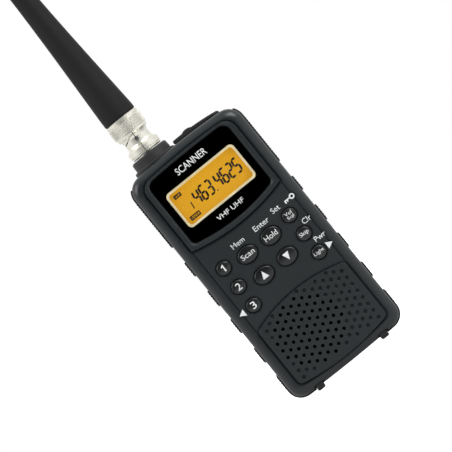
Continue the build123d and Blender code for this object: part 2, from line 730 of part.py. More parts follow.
def make_clip():
    """Sprung belt clip on the upper back."""
    pin_y = back_y + clip_pin_out
    base = block(-clip_half, clip_half, case_depth, case_depth + clip_base_thick, 84.0, 106.0)
    for side in (-1, 1):
        ear_x = side * (clip_half - 0.8)
        ear = block(ear_x - 0.8, ear_x + 0.8, case_depth, case_depth + clip_pin_out, 97.6, 102.4)
        ear += cross_rod(ear_x - 0.8, ear_x + 0.8, pin_y, clip_pin_height, 2.0)
        base += ear
    base -= cross_rod(-clip_half - 1, clip_half + 1, pin_y, clip_pin_height, 0.85)
    for x, height in clip_screw_places:
        base -= rod(x, height, case_depth - 1, case_depth + 3, 1.15)

    arm_in = clip_proud - clip_arm_thick
    corners = [
        (back_y + arm_in, up(clip_top_height)),
        (back_y + clip_proud, up(clip_top_height - 0.6)),
        (back_y + clip_proud, up(clip_bend_height)),
        (back_y + 2.4, up(clip_tip_height)),
        (back_y + 0.7, up(clip_tip_height + 1.2)),
        (back_y + arm_in, up(clip_bend_height + 0.6)),
    ]
    profile = make_face(Polyline(corners, close=True))
    bend_low, bend_high = up(clip_bend_height - 0.5), up(clip_bend_height + 1.0)
    bends = profile.vertices().filter_by_position(Axis.Y, bend_low, bend_high)
    profile = fillet(bends, 9.0)
    arm_half = clip_half - 2.1
    arm = extrude(Plane.YZ.offset(-arm_half) * profile, amount=2 * arm_half)
    for side in (-1, 1):
        ear_x = side * (arm_half - 0.8)
        left, right = ear_x - 0.8, ear_x + 0.8
        lug = block(left, right, case_depth + clip_pin_out, case_depth + arm_in + 0.3, 98.2, 101.8)
        lug += cross_rod(left, right, pin_y, clip_pin_height, 1.8)
        arm += lug
    arm -= cross_rod(-clip_half - 1, clip_half + 1, pin_y, clip_pin_height, 0.85)
    pin = cross_rod(-clip_half + 0.1, clip_half - 0.1, pin_y, clip_pin_height, 0.8)

    turns = 4
    wire = 0.35
    coil_path = Helix(pitch=1.0, height=turns, radius=1.3)
    coil_plane = Plane(origin=coil_path @ 0, z_dir=coil_path % 0)
    coil = sweep(coil_plane * Circle(wire), path=coil_path, is_frenet=True)
    spring = Pos(-turns / 2, pin_y, up(clip_pin_height)) * Rot(0, 90, 0) * coil
    screws = []
    for x, height in clip_screw_places:
        head = rod(x, height, case_depth + clip_base_thick, case_depth + clip_base_thick + 0.9, 2.0)
        screws.append(head + rod(x, height, case_depth - 3.8, case_depth + clip_base_thick, 0.85))
    return {
        "clip_base": base,
        "clip_arm": arm,
        "clip_pin": pin,
        "clip_spring": spring,
        "clip_screws": joined(screws),
    }


def make_case_screws():
    """Four long screws with cross recesses, which pull the rear shell on to the front one."""
    head_front, head_back = case_depth - screw_seat, case_depth - 0.4
    recess_half, recess_reach = 0.25, 1.5
    screws = []
    for x, height in screw_places:
        screw = rod(x, height, head_front, head_back, 2.0)
        screw += rod(x, height, seam_depth - 6.5, head_front, 0.95)
        for wide, tall in ((recess_reach, recess_half), (recess_half, recess_reach)):
            screw -= block(x - wide, x + wide, head_back - 0.5, case_depth, height - tall, height + tall)
        screws.append(screw)
    return joined(screws)


front_shell, rear_shell = make_shells()
nodes = {"front_shell": front_shell, "rear_shell": rear_shell}
nodes.update(make_grips())
nodes["feet"] = make_feet()
for name, (x, height, size) in key_table.items():
    nodes[name] = make_key(x, height, size)
nodes.update(make_display())
nodes.update(make_boards())
nodes.update(make_speaker())
nodes.update(make_battery_bay())
nodes.update(make_antenna())
nodes.update(make_sockets())
nodes.update(make_clip())
nodes["case_screws"] = make_case_screws()

os.makedirs("parts", exist_ok=True)
for name, solid in nodes.items():
    export_step(solid, f"parts/{name}.step")
print(len(nodes), "nodes")
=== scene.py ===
import json
import math

import bmesh
import bpy
from mathutils import Matrix, Vector


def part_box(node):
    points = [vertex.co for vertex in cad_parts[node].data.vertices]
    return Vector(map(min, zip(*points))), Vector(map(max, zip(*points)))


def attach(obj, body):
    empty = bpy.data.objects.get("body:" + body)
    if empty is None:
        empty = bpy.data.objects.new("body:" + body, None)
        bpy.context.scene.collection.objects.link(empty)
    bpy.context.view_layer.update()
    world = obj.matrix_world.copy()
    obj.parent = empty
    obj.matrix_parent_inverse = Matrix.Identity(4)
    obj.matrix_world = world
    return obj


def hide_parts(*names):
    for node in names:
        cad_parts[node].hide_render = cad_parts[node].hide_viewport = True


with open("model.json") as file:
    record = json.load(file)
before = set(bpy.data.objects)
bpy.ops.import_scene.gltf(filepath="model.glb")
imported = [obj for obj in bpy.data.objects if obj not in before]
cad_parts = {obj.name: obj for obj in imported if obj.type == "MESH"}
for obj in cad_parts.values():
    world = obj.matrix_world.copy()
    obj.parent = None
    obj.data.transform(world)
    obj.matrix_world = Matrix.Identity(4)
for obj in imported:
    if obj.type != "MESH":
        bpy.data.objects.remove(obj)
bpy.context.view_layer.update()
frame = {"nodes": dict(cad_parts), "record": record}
scene = bpy.context.scene
print("frame loaded with", len(frame["nodes"]), "nodes")

# Places read from the frame; sizes below are in millimetres and heights are above the case's lowest line
mm = 0.001
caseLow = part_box("front_shell")[0].z
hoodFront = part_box("front_shell")[0].y
keyProud = 0.9    # how far the keys stand out of the face
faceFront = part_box("key_1")[0].y + keyProud * mm
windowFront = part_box("display_window")[0].y
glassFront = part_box("lcd_glass")[0].y
ringAxis = (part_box("bayonet_sleeve")[0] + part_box("bayonet_sleeve")[1]) / 2


def up(height):
    return caseLow + height * mm


# An sRGB hex colour as linear red, green, blue and full alpha
def linear(hexColour):
    parts = [int(hexColour[i:i + 2], 16) / 255 for i in (1, 3, 5)]
    return [c / 12.92 if c <= 0.04045 else ((c + 0.055) / 1.055) ** 2.4 for c in parts] + [1.0]


# One node with its settings. Inputs take a value, a node or a socket; stops fill a colour ramp;
# feeds are the sockets that its first output goes to
def addNode(tree, kind, inputs=None, stops=None, feeds=(), **settings):
    node = tree.nodes.new(kind)
    for key, value in settings.items():
        setattr(node, key, value)
    for key, value in (inputs or {}).items():
        if isinstance(value, bpy.types.Node):
            value = value.outputs[0]
        if isinstance(value, bpy.types.NodeSocket):
            tree.links.new(value, node.inputs[key])
        else:
            node.inputs[key].default_value = value
    if stops:
        elements = node.color_ramp.elements
        while len(elements) < len(stops):
            elements.new(0.5)
        for element, (place, colour) in zip(elements, stops):
            element.position = place
            element.color = linear(colour) if isinstance(colour, str) else [colour] * 3 + [1]
    for socket in feeds:
        tree.links.new(node.outputs[0], socket)
    return node


# A material whose constant values sit on the shader's own sockets
def newMaterial(name, values):
    material = bpy.data.materials.new(name)
    material.use_nodes = True
    tree = material.node_tree
    shader = tree.nodes["Principled BSDF"]
    for key, value in values.items():
        shader.inputs[key].default_value = linear(value) if isinstance(value, str) else value
    where = addNode(tree, "ShaderNodeTexCoord").outputs["Object"]
    return material, tree, shader, where


# Moulded and printed surfaces. Dark and light are the ends of a slow cloud plus the grain, and rough is
# the range of roughness. The rest is in millimetres: grain, which is drawn several times coarser than real
# so that it shows, bump, which is its height, edge, which softens moulded corners, and the painted shade's
# reach, which is how far the shade painted into dimples and seams spreads. ior is there where the surface is
# duller than bare plastic
polymers = {
    # ABS from a spark-eroded tool: charcoal and satin, its sandy grain softens every highlight; its gloss is
    # dimmed to paint shade into dimples and seams
    "case_plastic": {"name": "sparkTexturedAbs", "dark": "#0a1113", "light": "#0f171a",
                     "rough": (0.34, 0.42),
                     "grain": 0.35, "bump": 0.012, "edge": 0.35, "hollow": 1.4},
    # ABS from a finer tool: a touch darker and more even than the shells
    "door_plastic": {"name": "fineTexturedAbs", "dark": "#080d0e", "light": "#0c1112", "rough": (0.4, 0.5),
                     "grain": 0.25, "bump": 0.008, "edge": 0.3},
    # Glass-filled nylon: black with a dry, slightly mottled skin
    "clip_plastic": {"name": "glassFilledNylon", "dark": "#090a0b", "light": "#0e0f10", "rough": (0.46, 0.6),
                     "grain": 0.3, "bump": 0.012, "edge": 0.3},
    # Nylon battery tray: flat black, so the cells stand out against it
    "tray_plastic": {"name": "matBlackNylon", "dark": "#141516", "light": "#1b1c1d", "rough": (0.55, 0.7),
                     "grain": 0.4, "bump": 0.01},
    # Nylon socket bodies from a smooth tool: black with a slight polish
    "socket_plastic": {"name": "glossBlackNylon", "dark": "#101112", "light": "#17181a", "rough": (0.3, 0.4),
                       "grain": 0.4, "bump": 0.006},
    # Thermoplastic rubber on the sides and feet: near black, it swallows highlights
    "grip_rubber": {"name": "mouldedTpe", "dark": "#070808", "light": "#0d0d0e", "rough": (0.6, 0.76),
                    "grain": 0.4, "bump": 0.015, "edge": 0.25},
    # Moulded nitrile round the antenna and over the sockets: black with a faint bloom
    "collar_rubber": {"name": "mouldedNitrile", "dark": "#0c0c0c", "light": "#121212", "rough": (0.5, 0.62),
                      "grain": 0.5, "bump": 0.012, "edge": 0.3},
    # Dip-moulded sheath: even, dark and satin along its whole length
    "whip_rubber": {"name": "satinRubberSheath", "dark": "#050505", "light": "#080808",
                    "rough": (0.66, 0.74),
                    "grain": 0.6, "bump": 0.004, "ior": 1.36},
    # Lacquered silicone keys: rubbery dark grey whose rounded rims catch a crisp line
    "key_rubber": {"name": "lacqueredSilicone", "dark": "#090c0d", "light": "#0e1112", "rough": (0.28, 0.36),
                   "grain": 0.3, "bump": 0.006},
    # Silicone mat under the keys: soft mid grey, dull all over
    "keypad_rubber": {"name": "greySiliconeSheet", "dark": "#5c5e60", "light": "#6c6e70",
                      "rough": (0.6, 0.75),
                      "grain": 0.5, "bump": 0.01},
    # Screen print behind the window: the deepest black on the front
    "black_print": {"name": "screenPrintedBlack", "dark": "#020203", "light": "#050506",
                    "rough": (0.35, 0.45),
                    "grain": 0.5, "bump": 0.002},
    # Pad-printed ink: flat white, a little greyer where the film is thin
    "ink": {"name": "padPrintedWhite", "dark": "#c9cbcb", "light": "#dcdede", "rough": (0.5, 0.65),
            "grain": 0.4, "bump": 0.004},
    # Energised liquid crystal: brown-black bars on the amber
    "segment": {"name": "darkLiquidCrystal", "dark": "#0c0702", "light": "#140c04", "rough": (0.45, 0.55),
                "grain": 0.4, "bump": 0.001},
    # Moulded PTFE round the antenna's pin: waxy white
    "white_insulator": {"name": "mouldedPtfe", "dark": "#e0dfd8", "light": "#efeee9", "rough": (0.35, 0.45),
                        "grain": 0.5, "bump": 0.005},
    # Epoxy moulded round the chips: near black with a fine, stony skin
    "chip_resin": {"name": "mouldedChipResin", "dark": "#131314", "light": "#1c1c1d", "rough": (0.5, 0.65),
                   "grain": 0.2, "bump": 0.01},
    # Acrylic with a frosted face, warmed by its lamp: milky amber
    "light_guide": {"name": "frostedAcrylic", "dark": "#e7cf8e", "light": "#f0dca4", "rough": (0.5, 0.6),
                    "grain": 0.6, "bump": 0.005},
    # Extruded PVC on the speaker's leads: even, slightly shiny red
    "lead_insulation": {"name": "extrudedPvc", "dark": "#8f1a14", "light": "#a3241c", "rough": (0.35, 0.45),
                        "grain": 0.8, "bump": 0.004},
    # Pressed paper pulp: grey-brown fibres, quite matt
    "cone_paper": {"name": "pressedPulp", "dark": "#2a2622", "light": "#3a352f", "rough": (0.85, 0.95),
                   "grain": 0.4, "bump": 0.03},
    # Sintered ferrite: dark grey and stony, without gloss
    "magnet_iron": {"name": "sinteredFerrite", "dark": "#2e2f31", "light": "#3c3d40", "rough": (0.6, 0.8),
                    "grain": 0.2, "bump": 0.02},
    # Steel basket under a passivated film: dull dark grey in soft patches
    "basket_steel": {"name": "passivatedSteel", "dark": "#3a3b3b", "light": "#4a4b4b", "rough": (0.4, 0.55),
                     "grain": 0.6, "bump": 0.01},
}
# What they share: the cloud's scale, which part of the noise the colour and the roughness use, and, for the
# painted shade, how open a spot is at the bottom of a dimple and on the flat, where it has the full gloss
moulded = {"cloud": 45.0, "colour": (0.35, 0.65), "rough": (0.3, 0.7), "open": (0.82, 0.98), "gloss": 0.5,
           "ior": 1.5}


def makePolymer(spec):
    values = {"IOR": spec.get("ior", moulded["ior"])}
    material, tree, shader, where = newMaterial(spec["name"], values)
    cloud = addNode(tree, "ShaderNodeTexNoise", {"Vector": where, "Scale": moulded["cloud"], "Detail": 3.0})
    fine = addNode(tree, "ShaderNodeTexNoise",
                   {"Vector": where, "Scale": 1 / (spec["grain"] * mm), "Detail": 2.0})
    blend = addNode(tree, "ShaderNodeMath", {0: fine, 1: 0.5}, operation="MULTIPLY")
    blend = addNode(tree, "ShaderNodeMath", {0: cloud, 1: 0.5, 2: blend}, operation="MULTIPLY_ADD")
    addNode(tree, "ShaderNodeValToRGB", {"Fac": blend},
            stops=list(zip(moulded["colour"], (spec["dark"], spec["light"]))),
            feeds=[shader.inputs["Base Color"]])
    (start, end), (low, high) = moulded["rough"], spec["rough"]
    addNode(tree, "ShaderNodeMapRange",
            {"Value": blend, "From Min": start, "From Max": end, "To Min": low, "To Max": high},
            feeds=[shader.inputs["Roughness"]])
    # Painted shade: an ambient-occlusion node dims the gloss in dimples and seams, so they read darker
    if "hollow" in spec:
        sheltered, flat = moulded["open"]
        openness = addNode(tree, "ShaderNodeAmbientOcclusion", {"Distance": spec["hollow"] * mm}, samples=8)
        shade = addNode(tree, "ShaderNodeMapRange",
                        {"Value": openness.outputs["AO"], "From Min": sheltered, "From Max": flat})
        addNode(tree, "ShaderNodeMath", {0: shade, 1: moulded["gloss"]}, operation="MULTIPLY",
                feeds=[shader.inputs["Specular IOR Level"]])
    bump = addNode(tree, "ShaderNodeBump", {"Height": fine, "Distance": spec["bump"] * mm},
                   feeds=[shader.inputs["Normal"]])
    if "edge" in spec:
        addNode(tree, "ShaderNodeBevel", {"Radius": spec["edge"] * mm}, samples=4,
                feeds=[bump.inputs["Normal"]])
    return material


# Plated and bare metals: streak gives how many marks per metre lie across X, Y and Z, drawn coarser than
# a lathe or a roller leaves them so that they show, and bump is their height in millimetres
metals = {
    # Bright nickel on turned brass: pale and warm, faint rings from the lathe
    "sleeve_nickel": {"name": "turnedNickelPlate", "colour": "#e2e0d5", "rough": (0.34, 0.4),
                      "streak": (90, 90, 2600), "bump": 0.0015},
    # Polished nickel on the plug's body and the sockets: near mirror, slightly warm
    "nickel": {"name": "polishedNickelPlate", "colour": "#e6e4dc", "rough": (0.14, 0.24),
               "streak": (90, 90, 2600), "bump": 0.0015},
    # Thin gold over nickel: pale yellow and bright
    "gold_contact": {"name": "flashGoldPlate", "colour": "#e3b963", "rough": (0.18, 0.3),
                     "streak": (200, 200, 2600), "bump": 0.002},
    # Drawn wire: plain grey, a little uneven
    "spring_steel": {"name": "drawnSpringWire", "colour": "#b9b9b6", "rough": (0.22, 0.38),
                     "streak": (900, 900, 900), "bump": 0.002},
    # Black zinc on steel screws: dark with a grey sheen
    "screw_steel": {"name": "blackZincPlate", "colour": "#47484a", "rough": (0.3, 0.45),
                    "streak": (700, 700, 700), "bump": 0.003},
    # Rolled tinplate: soft grey sheen with faint rolling lines
    "tin_plate": {"name": "rolledTinPlate", "colour": "#b7b6b0", "rough": (0.28, 0.42),
                  "streak": (60, 60, 2400), "bump": 0.002},
    # Turned brass: yellow with fine tool marks
    "brass": {"name": "turnedBrass", "colour": "#c8a25a", "rough": (0.25, 0.4),
              "streak": (2600, 2600, 200), "bump": 0.002},
}
marksUsed = (0.3, 0.7)    # part of the noise that the roughness runs over


def makeMetal(spec):
    material, tree, shader, where = newMaterial(spec["name"],
                                                {"Base Color": spec["colour"], "Metallic": 1.0})
    centred = addNode(tree, "ShaderNodeMapping", {"Vector": where, "Location": -ringAxis})
    stretched = addNode(tree, "ShaderNodeMapping", {"Vector": centred, "Scale": spec["streak"]})
    marks = addNode(tree, "ShaderNodeTexNoise", {"Vector": stretched, "Scale": 1.0, "Detail": 2.0})
    low, high = spec["rough"]
    addNode(tree, "ShaderNodeMapRange",
            {"Value": marks, "From Min": marksUsed[0], "From Max": marksUsed[1], "To Min": low,
             "To Max": high},
            feeds=[shader.inputs["Roughness"]])
    addNode(tree, "ShaderNodeBump", {"Height": marks, "Distance": spec["bump"] * mm},
            feeds=[shader.inputs["Normal"]])
    return material


# Polished acrylic: clear, hard and glossy, with a few faint wipe marks
wipeMarks = {"scale": 160.0, "from": 0.4, "to": 0.8, "roughest": 0.04}


def makeWindowAcrylic():
    values = {"Base Color": "#ffffff", "Transmission Weight": 1.0, "IOR": 1.49}
    material, tree, shader, where = newMaterial("polishedAcrylic", values)
    marks = addNode(tree, "ShaderNodeTexNoise",
                    {"Vector": where, "Scale": wipeMarks["scale"], "Detail": 4.0})
    addNode(tree, "ShaderNodeMapRange",
            {"Value": marks, "From Min": wipeMarks["from"], "From Max": wipeMarks["to"], "To Min": 0.0,
             "To Max": wipeMarks["roughest"]},
            feeds=[shader.inputs["Roughness"]])
    return material


# Cream styrene frame, lit from its edge by the lamp behind the display
creamGlow = {"colour": "#8a8062", "low": "#c9bb90", "high": "#e4d9b6", "strength": 0.85, "cloud": 120.0}


def makeCreamStyrene():
    values = {"Base Color": creamGlow["colour"], "Roughness": 0.45,
              "Emission Strength": creamGlow["strength"]}
    material, tree, shader, where = newMaterial("edgeLitStyrene", values)
    cloud = addNode(tree, "ShaderNodeTexNoise",
                    {"Vector": where, "Scale": creamGlow["cloud"], "Detail": 2.0})
    addNode(tree, "ShaderNodeValToRGB", {"Fac": cloud},
            stops=[(0.3, creamGlow["low"]), (0.7, creamGlow["high"])],
            feeds=[shader.inputs["Emission Color"]])
    return material


# Display glass over an amber light guide: even glow that deepens towards the rim. The stops run from the
# middle outwards and reach is how far off, across and up, the last one lies
amberGlow = {"base": "#3a2606", "stops": [(0.1, "#e3a921"), (0.8, "#dea01a"), (1.0, "#cd9010")],
             "strength": 0.97, "reach": (20.0, 13.0), "mottle": 900.0, "uneven": 0.08}


def makeAmberDisplay():
    values = {"Base Color": amberGlow["base"], "Roughness": 0.25, "Emission Strength": amberGlow["strength"]}
    material, tree, shader, where = newMaterial("amberLitGlass", values)
    low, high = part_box("lcd_glass")
    acrossX, acrossZ = amberGlow["reach"]
    centred = addNode(tree, "ShaderNodeMapping", {"Vector": where, "Location": -(low + high) / 2})
    shaped = addNode(tree, "ShaderNodeMapping",
                     {"Vector": centred, "Scale": (1000 / acrossX, 0, 1000 / acrossZ)})
    away = addNode(tree, "ShaderNodeVectorMath", {0: shaped}, operation="LENGTH").outputs["Value"]
    fine = addNode(tree, "ShaderNodeTexNoise",
                   {"Vector": where, "Scale": amberGlow["mottle"], "Detail": 1.0})
    uneven = addNode(tree, "ShaderNodeMath", {0: fine, 1: amberGlow["uneven"], 2: away},
                     operation="MULTIPLY_ADD")
    addNode(tree, "ShaderNodeValToRGB", {"Fac": uneven}, stops=amberGlow["stops"],
            feeds=[shader.inputs["Emission Color"]])
    return material


# Glass-epoxy board: green mask over copper, the tracks show as lighter lines
laminate = {"mask": "#1d4a2a", "maskDeeper": "#1a4226", "track": "#3b7a46", "scale": 260.0,
            "trackWide": 0.012,
            "copper": 0.02}


def makeBoardLaminate():
    material, tree, shader, where = newMaterial("solderMaskedLaminate", {"Roughness": 0.35})
    tracks = addNode(tree, "ShaderNodeTexBrick", {
        "Vector": where, "Scale": laminate["scale"], "Mortar Size": laminate["trackWide"],
        "Color1": linear(laminate["mask"]), "Color2": linear(laminate["maskDeeper"]),
        "Mortar": linear(laminate["track"])}, feeds=[shader.inputs["Base Color"]])
    addNode(tree, "ShaderNodeBump", {"Height": tracks.outputs["Fac"], "Distance": laminate["copper"] * mm},
            feeds=[shader.inputs["Normal"]])
    return material


# Layered contact rubber: fine black and pale lines
contactLayers = {"scale": 900.0, "stops": [(0.4, "#1c1c1e"), (0.6, "#c9c9c4")]}


def makeContactRubber():
    material, tree, shader, where = newMaterial("layeredContactRubber", {"Roughness": 0.6})
    layers = addNode(tree, "ShaderNodeTexWave", {"Vector": where, "Scale": contactLayers["scale"]},
                     bands_direction="X")
    addNode(tree, "ShaderNodeValToRGB", {"Fac": layers.outputs["Fac"]}, stops=contactLayers["stops"],
            feeds=[shader.inputs["Base Color"]])
    return material


# Woven scrim behind the sound holes: flat black threads, thread is their spacing and weave their height
scrim = {"colour": "#050506", "thread": 0.25, "weave": 0.05}


def makeDustCloth():
    material, tree, shader, where = newMaterial("wovenScrim",
                                                {"Base Color": scrim["colour"], "Roughness": 0.95})
    perThread = 0.314 / (scrim["thread"] * mm)    # at a Scale of 0.314 a wave has one band to the unit
    across = addNode(tree, "ShaderNodeTexWave", {"Vector": where, "Scale": perThread}, bands_direction="X")
    along = addNode(tree, "ShaderNodeTexWave", {"Vector": where, "Scale": perThread}, bands_direction="Z")
    weave = addNode(tree, "ShaderNodeMath", {0: across.outputs["Fac"], 1: along.outputs["Fac"]},
                    operation="MAXIMUM")
    addNode(tree, "ShaderNodeBump", {"Height": weave, "Distance": scrim["weave"] * mm},
            feeds=[shader.inputs["Normal"]])
    return material


# Shrunk PET sleeve on a cell: glossy grey with a plain copper band near its upper end
wrapBands = [(0.0, "#3b3d40"), (0.7, "#43464a"), (0.71, "#a4683a"), (0.97, "#a4683a"), (0.975, "#c9c8c3")]


def makeCellWrap():
    material, tree, shader, where = newMaterial("shrunkPetSleeve", {"Roughness": 0.28, "Coat Weight": 0.4})
    low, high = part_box("cell_left")
    height = addNode(tree, "ShaderNodeSeparateXYZ", {0: where}).outputs["Z"]
    span = addNode(tree, "ShaderNodeMapRange", {"Value": height, "From Min": low.z, "From Max": high.z})
    addNode(tree, "ShaderNodeValToRGB", {"Fac": span}, stops=wrapBands, feeds=[shader.inputs["Base Color"]])
    return material


finishes = {slot: makePolymer(spec) for slot, spec in polymers.items()}
finishes.update({slot: makeMetal(spec) for slot, spec in metals.items()})
finishes["window_acrylic"] = makeWindowAcrylic()
finishes["reflector_plastic"] = makeCreamStyrene()
finishes["display_glass"] = makeAmberDisplay()
finishes["board_laminate"] = makeBoardLaminate()
finishes["contact_rubber"] = makeContactRubber()
finishes["speaker_cloth"] = makeDustCloth()
finishes["cell_wrap"] = makeCellWrap()
for part in frame["record"]["subparts"]:
    for holder in frame["nodes"][part["node"]].material_slots:
        holder.material = finishes[part["material_slot"]]
print("finishes made:", len(finishes))


# A finished mesh becomes a piece that rides on a body; sharp is the angle past which an edge stays sharp
def keepPiece(name, mesh, finish, body, sharp=None):
    mesh.materials.clear()
    mesh.materials.append(finishes[finish])
    if sharp:
        mesh.shade_smooth()
        mesh.set_sharp_from_angle(angle=math.radians(sharp))
    piece = bpy.data.objects.new(name, mesh)
    scene.collection.objects.link(piece)
    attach(piece, body)
    return piece


# Several meshes under construction become one, with faces outwards
def joinedMesh(name, works):
    whole = bmesh.new()
    for work in works:
        scrap = bpy.data.meshes.new("scrap")
        work.to_mesh(scrap)
        work.free()
        whole.from_mesh(scrap)
        bpy.data.meshes.remove(scrap)
    bmesh.ops.recalc_face_normals(whole, faces=whole.faces)
    mesh = bpy.data.meshes.new(name)
    whole.to_mesh(mesh)
    whole.free()
    return mesh


letters = {"steps": 4, "weld": 1e-5}    # steps along a letter's curve, and how near its points are joined


# Flat letters in X and Z, fitted into a box of size (width, height) about a centre (x, height)
def flatText(words, centre, size, bold=0.0):
    curve = bpy.data.curves.new("letters", "FONT")
    curve.body = words
    curve.offset = bold
    curve.resolution_u = letters["steps"]
    holder = bpy.data.objects.new("letters", curve)
    scene.collection.objects.link(holder)
    bpy.context.view_layer.update()
    mesh = bpy.data.meshes.new_from_object(holder.evaluated_get(bpy.context.evaluated_depsgraph_get()))
    bpy.data.objects.remove(holder)
    work = bmesh.new()
    work.from_mesh(mesh)
    bpy.data.meshes.remove(mesh)
    bmesh.ops.remove_doubles(work, verts=work.verts, dist=letters["weld"])
    acrossX = [vert.co.x for vert in work.verts]
    acrossZ = [vert.co.y for vert in work.verts]
    stretchX = size[0] / (max(acrossX) - min(acrossX))
    stretchZ = size[1] / (max(acrossZ) - min(acrossZ))
    middleX = (max(acrossX) + min(acrossX)) / 2
    middleZ = (max(acrossZ) + min(acrossZ)) / 2
    for vert in work.verts:
        x = centre[0] + (vert.co.x - middleX) * stretchX
        height = centre[1] + (vert.co.y - middleZ) * stretchZ
        vert.co = Vector((x * mm, 0, up(height)))
    return work


# Flat face from an outline of (x, height) points
def flatShape(points):
    work = bmesh.new()
    work.faces.new([work.verts.new((x * mm, 0, up(height))) for x, height in points])
    return work


def flatBox(left, right, low, high):
    return flatShape([(left, low), (right, low), (right, high), (left, high)])


def flatRing(centre, outer, inner, steps=28):
    work = bmesh.new()
    turns = [2 * math.pi * step / steps for step in range(steps)]
    rings = []
    for radius in (outer, inner):
        places = [(centre[0] + radius * math.cos(t), centre[1] + radius * math.sin(t)) for t in turns]
        rings.append([work.verts.new((x * mm, 0, up(height))) for x, height in places])
    for step in range(steps):
        after = (step + 1) % steps
        work.faces.new((rings[0][step], rings[0][after], rings[1][after], rings[1][step]))
    return work


# Gives flat faces a body: its front lies at front(x, z) metres and its back is thick behind it.
# A cell cuts the faces into small squares first, so that they can follow a curved front
def raiseFlat(work, front, thick, cell=None):
    if cell:
        for axis in (0, 2):
            places = [vert.co[axis] for vert in work.verts]
            count = int((max(places) - min(places)) / (cell * mm))
            for step in range(1, count + 1):
                point = Vector((0, 0, 0))
                normal = Vector((0, 0, 0))
                point[axis] = min(places) + step * cell * mm
                normal[axis] = 1
                geometry = work.verts[:] + work.edges[:] + work.faces[:]
                bmesh.ops.bisect_plane(work, geom=geometry, plane_co=point, plane_no=normal)
    for vert in work.verts:
        vert.co.y = front(vert.co.x, vert.co.z)
    grown = bmesh.ops.extrude_face_region(work, geom=work.faces[:])
    for item in grown["geom"]:
        if isinstance(item, bmesh.types.BMVert):
            item.co.y += thick * mm
    return work


# Printed on the face: words as (words, centre, size), arrows as outlines, and a sign of a door key, whose
# bow is (x, outer, inner) and whose bars are (left, right, low, high), both from the sign's place
faceLegends = {
    "words": [
        ("Mem", (-6.4, 67.5), (6.2, 2.3)), ("Enter", (5.9, 67.5), (7.6, 2.4)),
        ("Set", (14.4, 68.7), (4.0, 2.4)),
        ("Clr", (21.8, 57.3), (4.1, 2.4)), ("Pwr", (21.7, 48.4), (5.2, 2.4)),
    ],
    "arrows": [[(-24.8, 43.4), (-22.1, 45.0), (-22.1, 41.8)], [(24.5, 43.5), (21.6, 41.9), (21.6, 45.1)]],
    "keySign": (21.8, 68.6), "bow": (1.35, 1.2, 0.6),
    "bars": [(-2.5, 0.25, -0.28, 0.28), (-2.5, -1.95, -1.15, -0.28), (-1.45, -0.95, -0.95, -0.28)],
    "thick": 0.05, "proud": 0.03, "bold": 0.004,
}


def makeFaceLegends():
    works = [flatText(words, centre, size, faceLegends["bold"])
             for words, centre, size in faceLegends["words"]]
    works += [flatShape(points) for points in faceLegends["arrows"]]
    x, height = faceLegends["keySign"]
    bowX, outer, inner = faceLegends["bow"]
    works.append(flatRing((x + bowX, height), outer, inner))
    for left, right, low, high in faceLegends["bars"]:
        works.append(flatBox(x + left, x + right, height + low, height + high))
    front = faceFront - faceLegends["proud"] * mm
    works = [raiseFlat(work, lambda x, z: front, faceLegends["thick"]) for work in works]
    keepPiece("face_legends", joinedMesh("faceLegends", works), "ink", "case")


# Printed on the window, above and below the display
windowWords = {"words": [("SCANNER", (-0.2, 105.9), (15.4, 3.1)), ("VHF UHF", (0.1, 80.3), (13.6, 2.1))],
               "thick": 0.05, "proud": 0.04, "bold": 0.006}


def makeWindowWords():
    front = windowFront - windowWords["proud"] * mm
    works = []
    for words, centre, size in windowWords["words"]:
        works.append(raiseFlat(flatText(words, centre, size, windowWords["bold"]), lambda x, z: front,
                               windowWords["thick"]))
    keepPiece("window_words", joinedMesh("windowWords", works), "ink", "case")


# Seven-segment figures: place of the first one, their pitch and their size. The point is (how far it
# moves left, half its width, low, high), the small figure is (x, height, tall, stroke) and a sign is
# (left, right, low, high, letters), in a frame that is line thick and keeps its letters inset
figures = {
    "shown": "463.4625", "first": -7.45, "pitch": 3.27, "pointRoom": 1.34, "middle": 92.75,
    "wide": 2.15, "tall": 6.0, "stroke": 0.92, "slant": 0.13, "gap": 0.06,
    "point": (0.35, 0.3, 89.35, 89.95), "small": (-11.0, 91.35, 3.1, 0.5),
    "signs": [(-15.3, -11.7, 97.4, 99.2, "PRI"), (-15.3, -10.25, 86.3, 88.3, "BANK")],
    "line": 0.5, "inset": (1.1, 1.05), "bold": 0.035, "thick": 0.04, "proud": 0.05,
}
segmentsOf = {"2": "abged", "3": "abgcd", "4": "fgbc", "5": "afgcd", "6": "afgedc"}


# Outline of one bar of a figure, about the figure's middle
def segmentPoints(which):
    halfWide, halfTall, half = figures["wide"] / 2, figures["tall"] / 2, figures["stroke"] / 2
    level = {"a": halfTall, "g": 0, "d": -halfTall}
    if which in level:
        left, right, z = -halfWide + figures["gap"], halfWide - figures["gap"], level[which]
        return [(left, z), (left + half, z - half), (right - half, z - half), (right, z),
                (right - half, z + half), (left + half, z + half)]
    x = halfWide if which in "bc" else -halfWide
    low, high = (0, halfTall) if which in "bf" else (-halfTall, 0)
    low, high = low + figures["gap"], high - figures["gap"]
    return [(x, low), (x + half, low + half), (x + half, high - half), (x, high),
            (x - half, high - half), (x - half, low + half)]


# A framed sign with small letters in it
def framedSign(left, right, low, high, words):
    line = figures["line"]
    room = (right - left - figures["inset"][0], high - low - figures["inset"][1])
    return [
        flatBox(left, right, low, low + line), flatBox(left, right, high - line, high),
        flatBox(left, left + line, low + line, high - line),
        flatBox(right - line, right, low + line, high - line),
        flatText(words, ((left + right) / 2, (low + high) / 2), room, figures["bold"]),
    ]


# The single upright stroke of the small figure
def smallFigure():
    x, middle, tall, stroke = figures["small"]
    lean = tall / 2 * figures["slant"]
    low, high = middle - tall / 2, middle + tall / 2
    return flatShape([(x - lean - stroke / 2, low), (x - lean + stroke / 2, low),
                      (x + lean + stroke / 2, high), (x + lean - stroke / 2, high)])


